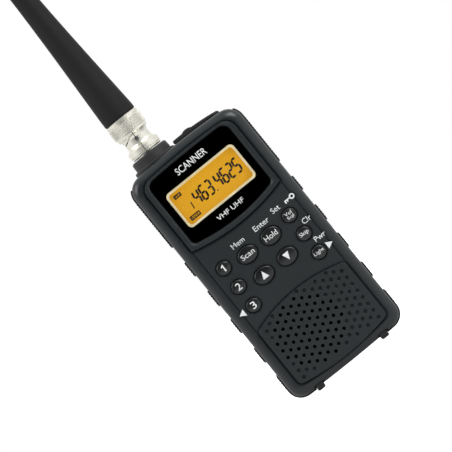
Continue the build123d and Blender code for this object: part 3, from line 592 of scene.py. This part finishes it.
def makeDisplayFigures():
    works = []
    x = figures["first"]
    for sign in figures["shown"]:
        if sign == ".":
            shift, half, low, high = figures["point"]
            middle = x - figures["pitch"] / 2 + figures["pointRoom"] / 2 - shift
            works.append(flatBox(middle - half, middle + half, low, high))
            x += figures["pointRoom"]
            continue
        for which in segmentsOf[sign]:
            leaning = [(x + px + pz * figures["slant"], figures["middle"] + pz)
                       for px, pz in segmentPoints(which)]
            works.append(flatShape(leaning))
        x += figures["pitch"]
    works.append(smallFigure())
    for sign in figures["signs"]:
        works += framedSign(*sign)
    front = glassFront - figures["proud"] * mm
    works = [raiseFlat(work, lambda x, z: front, figures["thick"]) for work in works]
    keepPiece("display_figures", joinedMesh("displayFigures", works), "segment", "case")


# Key caps: an oval crown with a rounded rim, on the flange that keeps the key behind the panel. A node
# wider than largeFrom is a large key; across, over and around are steps on the crown, its rim and its oval
keyCaps = {"small": {"wide": 6.3, "tall": 5.8}, "large": {"wide": 8.9, "tall": 6.9}, "largeFrom": 10,
           "crown": 0.3, "rim": 0.6, "flangeOut": 1.05, "flangeThick": 1.0, "stemLong": 0.3,
           "stemRadius": 1.2,
           "across": 12, "over": 6, "around": 72}
# What is printed on each key, from the key's middle: outlines, or (words, centre, size)
keyInk = {"bold": 0.004, "proud": 0.03, "thick": 0.06, "cell": 0.3}
keyLegends = {
    "key_1": [[(-0.2, -1.55), (0.4, -1.55), (0.4, 1.55), (-0.05, 1.55), (-0.85, 0.95), (-0.85, 0.45),
               (-0.2, 0.8)]],
    "key_2": [("2", (0, 0), (2.1, 3.1))],
    "key_3": [("3", (0, 0), (2.1, 3.1))],
    "key_service": [("Scan", (0, 0), (6.4, 2.3))],
    "key_hold": [("Hold", (0, 0), (6.2, 2.4))],
    "key_up": [[(-1.5, -1.5), (1.5, -1.5), (0, 1.9)]],
    "key_down": [[(-1.5, 1.7), (0, -1.7), (1.5, 1.7)]],
    "key_volume": [("Vol", (0, 0.95), (3.3, 1.5)), ("Sql", (0, -1.0), (3.1, 1.7))],
    "key_lockout": [("Skip", (0, 0), (4.4, 2.2))],
    "key_light": [("Light", (0, 0), (4.8, 1.9))],
}


# How far the crown lies behind its highest point, in metres, at x and z metres from its middle
def crownSink(spec, x, z):
    reachX = (spec["wide"] / 2 - keyCaps["rim"]) * mm
    reachZ = (spec["tall"] / 2 - keyCaps["rim"]) * mm
    return keyCaps["crown"] * mm * min(1.0, (x / reachX) ** 2 + (z / reachZ) ** 2)


def makeKey(node):
    low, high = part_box(node)
    middle = (low + high) / 2
    spec = keyCaps["large" if (high - low).x > keyCaps["largeFrom"] * mm else "small"]
    halfWide, halfTall, rim = spec["wide"] / 2, spec["tall"] / 2, keyCaps["rim"]
    # Each layer is (half width, half height, depth behind the crown's top)
    layers = []
    for step in range(1, keyCaps["across"] + 1):
        share = step / keyCaps["across"]
        layers.append(((halfWide - rim) * share, (halfTall - rim) * share, keyCaps["crown"] * share ** 2))
    for step in range(1, keyCaps["over"] + 1):
        turn = math.pi / 2 * step / keyCaps["over"]
        out = rim * math.sin(turn) - rim
        layers.append((halfWide + out, halfTall + out, keyCaps["crown"] + rim * (1 - math.cos(turn))))
    back = (high.y - low.y) / mm
    flangeBack = back - keyCaps["stemLong"]
    flangeFront = flangeBack - keyCaps["flangeThick"]
    out, stem = keyCaps["flangeOut"], keyCaps["stemRadius"]
    layers += [(halfWide, halfTall, flangeFront), (halfWide + out, halfTall + out, flangeFront),
               (halfWide + out, halfTall + out, flangeBack), (stem, stem, flangeBack), (stem, stem, back)]
    work = bmesh.new()
    turns = [2 * math.pi * step / keyCaps["around"] for step in range(keyCaps["around"])]
    rings = []
    for wide, tall, depth in layers:
        rings.append([work.verts.new((middle.x + wide * mm * math.cos(t), low.y + depth * mm,
                                      middle.z + tall * mm * math.sin(t))) for t in turns])
    tip = work.verts.new((middle.x, low.y, middle.z))
    foot = work.verts.new((middle.x, high.y, middle.z))
    for step in range(keyCaps["around"]):
        after = (step + 1) % keyCaps["around"]
        work.faces.new((tip, rings[0][step], rings[0][after]))
        work.faces.new((foot, rings[-1][after], rings[-1][step]))
        for inner, outer in zip(rings, rings[1:]):
            work.faces.new((inner[step], outer[step], outer[after], inner[after]))
    body = node + "_cap"
    piece = keepPiece(node + "_moulding", joinedMesh(node + "Moulding", [work]), "key_rubber", body,
                      40)
    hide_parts(node)

    def onCrown(x, z):
        return low.y - keyInk["proud"] * mm + crownSink(spec, x - middle.x, z - middle.z)

    works = []
    centreX, centreHeight = middle.x / mm, (middle.z - caseLow) / mm
    for legend in keyLegends[node]:
        if isinstance(legend, list):
            flat = flatShape([(centreX + x, centreHeight + z) for x, z in legend])
        else:
            words, (x, z), size = legend
            flat = flatText(words, (centreX + x, centreHeight + z), size, keyInk["bold"])
        works.append(raiseFlat(flat, onCrown, keyInk["thick"], keyInk["cell"]))
    keepPiece(node + "_legend", joinedMesh(node + "Legend", works), "ink", body)


# An empty Geometry Nodes group with named inputs
def newTree(name, inputs):
    tree = bpy.data.node_groups.new(name, "GeometryNodeTree")
    sockets = {}
    for label, kind in inputs.items():
        sockets[label] = tree.interface.new_socket(label, in_out="INPUT",
                                                   socket_type="NodeSocket" + kind).identifier
    tree.interface.new_socket("Geometry", in_out="OUTPUT", socket_type="NodeSocketGeometry")
    return tree, tree.nodes.new("NodeGroupInput").outputs, tree.nodes.new("NodeGroupOutput"), sockets


# Runs a tree with these values and gives the plain mesh that it makes
def treeMesh(name, tree, sockets, values):
    holder = bpy.data.objects.new(name, bpy.data.meshes.new(name))
    scene.collection.objects.link(holder)
    modifier = holder.modifiers.new("build", "NODES")
    modifier.node_group = tree
    for label, value in values.items():
        modifier[sockets[label]] = value
    bpy.context.view_layer.update()
    mesh = bpy.data.meshes.new_from_object(holder.evaluated_get(bpy.context.evaluated_depsgraph_get()))
    bpy.data.objects.remove(holder)
    return mesh


# Straight knurl round the sleeve's ring, drawn a little coarse so that it shows
knurl = {"count": 78, "low": 131.95, "high": 136.35, "radius": 7.7, "ridge": 0.28}


def makeKnurl():
    tree, given, result, sockets = newTree(
        "knurlRidges", {"Count": "Int", "Radius": "Float", "Ridge": "Float", "Height": "Float"})
    ring = addNode(tree, "GeometryNodeMeshCircle", {"Vertices": given["Count"], "Radius": given["Radius"]})
    size = addNode(tree, "ShaderNodeCombineXYZ",
                   {"X": given["Ridge"], "Y": given["Ridge"], "Z": given["Height"]})
    bar = addNode(tree, "GeometryNodeMeshCube", {"Size": size})
    place = addNode(tree, "GeometryNodeInputPosition")
    outward = addNode(tree, "FunctionNodeAlignRotationToVector", {"Vector": place}, axis="X", pivot_axis="Z")
    corner = addNode(tree, "FunctionNodeRotateRotation",
                     {"Rotation": outward, "Rotate By": (0, 0, math.pi / 4)},
                     rotation_space="LOCAL")
    bars = addNode(tree, "GeometryNodeInstanceOnPoints",
                   {"Points": ring, "Instance": bar, "Rotation": corner})
    solid = addNode(tree, "GeometryNodeRealizeInstances", {"Geometry": bars})
    addNode(tree, "GeometryNodeSetMaterial", {"Geometry": solid, "Material": finishes["sleeve_nickel"]},
            feeds=[result.inputs[0]])
    mesh = treeMesh("knurl", tree, sockets, {
        "Count": knurl["count"], "Radius": knurl["radius"] * mm, "Ridge": knurl["ridge"] * mm,
        "Height": (knurl["high"] - knurl["low"]) * mm})
    mesh.transform(Matrix.Translation((ringAxis.x, ringAxis.y, up((knurl["low"] + knurl["high"]) / 2))))
    keepPiece("sleeve_knurl", mesh, "sleeve_nickel", "sleeve")


# Fine ribs across each side pad; bands are the lowest and highest rib of each pad
gripRibs = {"bands": [(8.4, 12.9), (22.9, 27.8), (38.6, 43.5), (53.1, 58.5), (68.9, 73.8), (84.3, 105.7)],
            "pitch": 1.26, "radius": 0.34, "long": 15.6, "proud": 0.2, "around": 12}


def makeGripRibs():
    tree, given, result, sockets = newTree(
        "padRibs", {"Count": "Int", "Pitch": "Float", "Radius": "Float", "Long": "Float"})
    step = addNode(tree, "ShaderNodeCombineXYZ", {"Z": given["Pitch"]})
    line = addNode(tree, "GeometryNodeMeshLine", {"Count": given["Count"], "Offset": step}, mode="OFFSET")
    rib = addNode(tree, "GeometryNodeMeshCylinder", {
        "Vertices": gripRibs["around"], "Side Segments": 1, "Radius": given["Radius"],
        "Depth": given["Long"]})
    ribs = addNode(tree, "GeometryNodeInstanceOnPoints",
                   {"Points": line, "Instance": rib, "Rotation": (math.pi / 2, 0, 0)})
    solid = addNode(tree, "GeometryNodeRealizeInstances", {"Geometry": ribs})
    addNode(tree, "GeometryNodeSetMaterial", {"Geometry": solid, "Material": finishes["grip_rubber"]},
            feeds=[result.inputs[0]])
    low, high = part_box("side_grip_right")
    whole = bmesh.new()
    for side in (-1, 1):
        for bandLow, bandHigh in gripRibs["bands"]:
            count = round((bandHigh - bandLow) / gripRibs["pitch"]) + 1
            mesh = treeMesh("ribs", tree, sockets, {
                "Count": count, "Pitch": gripRibs["pitch"] * mm, "Radius": gripRibs["radius"] * mm,
                "Long": gripRibs["long"] * mm})
            x = side * (high.x - (gripRibs["radius"] - gripRibs["proud"]) * mm)
            start = (bandLow + bandHigh - (count - 1) * gripRibs["pitch"]) / 2
            mesh.transform(Matrix.Translation((x, (low.y + high.y) / 2, up(start))))
            whole.from_mesh(mesh)
            bpy.data.meshes.remove(mesh)
    keepPiece("side_grip_ribs", joinedMesh("gripRibs", [whole]), "grip_rubber", "case", 40)


# Conical wire springs at the cells' negative ends: wire and coils are given as radii
springs = {"wire": 0.32, "turns": 5.0, "tight": 2.4, "wide": 4.9, "perTurn": 28, "around": 10}


def makeBatterySprings():
    tree, given, result, sockets = newTree(
        "woundWire",
        {"Turns": "Float", "Start": "Float", "End": "Float", "Height": "Float", "Wire": "Float"})
    path = addNode(tree, "GeometryNodeCurveSpiral", {
        "Resolution": springs["perTurn"], "Rotations": given["Turns"], "Start Radius": given["Start"],
        "End Radius": given["End"], "Height": given["Height"]})
    section = addNode(tree, "GeometryNodeCurvePrimitiveCircle",
                      {"Resolution": springs["around"], "Radius": given["Wire"]})
    wire = addNode(tree, "GeometryNodeCurveToMesh",
                   {"Curve": path, "Profile Curve": section, "Fill Caps": True})
    solid = addNode(tree, "GeometryNodeRealizeInstances", {"Geometry": wire})
    addNode(tree, "GeometryNodeSetMaterial", {"Geometry": solid, "Material": finishes["spring_steel"]},
            feeds=[result.inputs[0]])
    low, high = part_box("battery_springs")
    wire = springs["wire"] * mm
    whole = bmesh.new()
    for node, spanLow, spanHigh in (("cell_left", low.z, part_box("cell_left")[0].z),
                                    ("cell_right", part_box("cell_right")[1].z, high.z)):
        cellLow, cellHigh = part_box(node)
        tall = spanHigh - spanLow - 2 * wire
        mesh = treeMesh("coil", tree, sockets, {
            "Turns": springs["turns"], "Start": springs["wide"] * mm, "End": springs["tight"] * mm,
            "Height": tall, "Wire": wire})
        if node == "cell_right":    # this one hangs down, with its tight end on the cell below it
            mesh.transform(Matrix.Rotation(math.pi, 4, "X"))
            mesh.transform(Matrix.Translation((0, 0, tall)))
        place = ((cellLow.x + cellHigh.x) / 2, (cellLow.y + cellHigh.y) / 2, spanLow + wire)
        mesh.transform(Matrix.Translation(place))
        whole.from_mesh(mesh)
        bpy.data.meshes.remove(mesh)
    piece = keepPiece("battery_spring_coils", joinedMesh("springCoils", [whole]), "spring_steel", "case",
                      60)
    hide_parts("battery_springs")


# Cross-recess screws; rows is how many rows of two the node has
screws = {
    "case_screws": {"rows": 2, "radius": 2.0, "deep": 1.1, "slot": 0.5, "reach": 2.4},
    "clip_screws": {"rows": 1, "radius": 1.9, "deep": 0.9, "slot": 0.45, "reach": 2.2},
}
crossHead = {"around": 40, "lift": 0.45}    # the cross is as deep as the head, lifted by this share of it


def makeScrewHeads():
    tree, given, result, sockets = newTree("crossHeads", {
        "Across": "Float", "Upright": "Float", "Rows": "Int", "Radius": "Float", "Deep": "Float",
        "Slot": "Float", "Reach": "Float"})
    grid = addNode(tree, "GeometryNodeMeshGrid", {
        "Size X": given["Across"], "Size Y": given["Upright"], "Vertices X": 2, "Vertices Y": given["Rows"]})
    head = addNode(tree, "GeometryNodeMeshCylinder", {
        "Vertices": crossHead["around"], "Side Segments": 1, "Radius": given["Radius"],
        "Depth": given["Deep"]})
    lift = addNode(tree, "ShaderNodeMath", {0: given["Deep"], 1: crossHead["lift"]}, operation="MULTIPLY")
    shift = addNode(tree, "ShaderNodeCombineXYZ", {"Z": lift})
    cut = addNode(tree, "GeometryNodeMeshBoolean", {"Mesh 1": head}, operation="DIFFERENCE")
    for wide, tall in (("Reach", "Slot"), ("Slot", "Reach")):
        size = addNode(tree, "ShaderNodeCombineXYZ",
                       {"X": given[wide], "Y": given[tall], "Z": given["Deep"]})
        bar = addNode(tree, "GeometryNodeMeshCube", {"Size": size})
        addNode(tree, "GeometryNodeTransform", {"Geometry": bar, "Translation": shift},
                feeds=[cut.inputs["Mesh 2"]])
    spread = addNode(tree, "GeometryNodeInstanceOnPoints", {"Points": grid, "Instance": cut})
    solid = addNode(tree, "GeometryNodeRealizeInstances", {"Geometry": spread})
    addNode(tree, "GeometryNodeSetMaterial", {"Geometry": solid, "Material": finishes["screw_steel"]},
            feeds=[result.inputs[0]])
    for node, spec in screws.items():
        low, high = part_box(node)
        radius = spec["radius"] * mm
        mesh = treeMesh(node, tree, sockets, {
            "Across": (high - low).x - 2 * radius,
            "Upright": ((high - low).z - 2 * radius) * (spec["rows"] - 1),
            "Rows": spec["rows"], "Radius": radius, "Deep": spec["deep"] * mm, "Slot": spec["slot"] * mm,
            "Reach": spec["reach"] * mm})
        mesh.transform(Matrix.Rotation(-math.pi / 2, 4, "X"))
        middle = (low + high) / 2
        mesh.transform(Matrix.Translation((middle.x, high.y - spec["deep"] * mm / 2, middle.z)))
        piece = keepPiece(node + "_heads", mesh, "screw_steel", "case", 30)
        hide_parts(node)


# Raised arrow on the battery door, pointing the way that it opens
doorArrow = {"points": [(-2.6, 43.5), (0, 40.3), (2.6, 43.5)], "bar": (-0.9, 0.9, 43.5, 46.5), "proud": 0.3,
             "sunk": 0.1}


def makeDoorArrow():
    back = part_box("battery_door")[1].y
    works = [flatShape(doorArrow["points"]), flatBox(*doorArrow["bar"])]
    front = back - doorArrow["sunk"] * mm
    works = [raiseFlat(work, lambda x, z: front, doorArrow["proud"] + doorArrow["sunk"]) for work in works]
    keepPiece("door_arrow", joinedMesh("doorArrow", works), "door_plastic", "door")


makeFaceLegends()
makeWindowWords()
makeDisplayFigures()
print("legends and display figures made")
for nodeName in keyLegends:
    makeKey(nodeName)
print("keys made")
makeKnurl()
makeGripRibs()
makeBatterySprings()
makeScrewHeads()
makeDoorArrow()
print("knurl, ribs, springs and screws made")

# Floor: a pale sheet that glows evenly, as a light table does, so nothing casts a hard shadow; in metres.
# glow is how brightly it shows, spill how brightly it lights the radio
floor = {"wide": 5.0, "near": -2.6, "far": 2.6, "glow": 1.0, "spill": 0.25, "cloud": 3.0,
         "stops": [(0.3, "#b9babb"), (0.7, "#c4c5c6")]}


def makeFloor():
    work = bmesh.new()
    half, near, far = floor["wide"] / 2, floor["near"], floor["far"]
    corners = [(-half, near, 0), (half, near, 0), (half, far, 0), (-half, far, 0)]
    work.faces.new([work.verts.new(corner) for corner in corners])
    mesh = bpy.data.meshes.new("floor")
    work.to_mesh(mesh)
    work.free()
    # Opal acrylic sheet lit from below: pale and matt with the faintest cloud
    material, tree, shader, where = newMaterial("backlitOpalSheet",
                                                {"Roughness": 0.8, "Emission Color": "#ffffff"})
    cloud = addNode(tree, "ShaderNodeTexNoise", {"Vector": where, "Scale": floor["cloud"]})
    addNode(tree, "ShaderNodeValToRGB", {"Fac": cloud}, stops=floor["stops"],
            feeds=[shader.inputs["Base Color"]])
    seen = addNode(tree, "ShaderNodeLightPath").outputs["Is Camera Ray"]
    addNode(tree, "ShaderNodeMapRange", {"Value": seen, "To Min": floor["spill"], "To Max": floor["glow"]},
            feeds=[shader.inputs["Emission Strength"]])
    mesh.materials.append(material)
    sheet = bpy.data.objects.new("floor", mesh)
    scene.collection.objects.link(sheet)


# Camera: straight at the front, rolled so that the case leans left; field is the width of the picture
view = {"roll": 39.01, "aim": (-5.7, 76.0), "distance": 1500.0, "field": 186.4, "sensor": 36.0,
        "sees": 20000.0}
roll = math.radians(view["roll"])
camRight = Vector((math.cos(roll), 0, -math.sin(roll)))
camUp = Vector((math.sin(roll), 0, math.cos(roll)))
aim = Vector((view["aim"][0] * mm, hoodFront, up(view["aim"][1])))


def makeCamera():
    data = bpy.data.cameras.new("camera")
    data.sensor_width = view["sensor"]
    data.lens = view["sensor"] * view["distance"] / view["field"]
    data.clip_end = view["sees"] * mm
    camera = bpy.data.objects.new("camera", data)
    scene.collection.objects.link(camera)
    backward = Vector((0, -1, 0))
    turned = Matrix((camRight, camUp, backward)).transposed().to_4x4()
    camera.matrix_world = Matrix.Translation(aim + backward * view["distance"] * mm) @ turned
    scene.camera = camera


# Soft boxes: direction as (right, up, towards the camera), distance and size in metres, power in watts
softBoxes = {
    "topBox": {"from": (0.15, 1.0, 0.65), "distance": 1.1, "size": (0.7, 0.4), "power": 9},
    "leftBox": {"from": (-1.0, 0.1, 0.35), "distance": 1.1, "size": (0.4, 0.6), "power": 5},
}


def makeLights():
    for name, spec in softBoxes.items():
        data = bpy.data.lights.new(name, "AREA")
        data.shape = "RECTANGLE"
        data.size, data.size_y = spec["size"]
        data.energy = spec["power"]
        light = bpy.data.objects.new(name, data)
        scene.collection.objects.link(light)
        right, upward, near = spec["from"]
        direction = (camRight * right + camUp * upward + Vector((0, -near, 0))).normalized()
        turned = direction.to_track_quat("Z", "Y").to_matrix().to_4x4()
        light.matrix_world = Matrix.Translation(aim + direction * spec["distance"]) @ turned


# The room is pale all round; what the gloss picks up from in front is darker, which keeps the window black.
# The stops run from straight in front, at 0, to the sides, at 1
room = {"stops": [(0.04, 0.0), (0.18, 0.14), (0.42, 0.55), (0.65, 1.0)]}


def makeRoom():
    world = bpy.data.worlds.new("room")
    scene.world = world
    world.use_nodes = True
    tree = world.node_tree
    direction = addNode(tree, "ShaderNodeTexCoord").outputs["Generated"]
    depth = addNode(tree, "ShaderNodeSeparateXYZ", {0: direction}).outputs["Y"]
    share = addNode(tree, "ShaderNodeMapRange", {"Value": depth, "From Min": -1.0, "From Max": 0.0})
    shade = addNode(tree, "ShaderNodeValToRGB", {"Fac": share}, stops=room["stops"])
    seen = addNode(tree, "ShaderNodeLightPath").outputs["Is Camera Ray"]
    addNode(tree, "ShaderNodeMath", {0: shade, 1: seen}, operation="MAXIMUM",
            feeds=[tree.nodes["Background"].inputs["Color"]])


makeFloor()
makeCamera()
makeLights()
makeRoom()
scene.view_settings.view_transform = "Standard"
print("floor, camera and lights set")
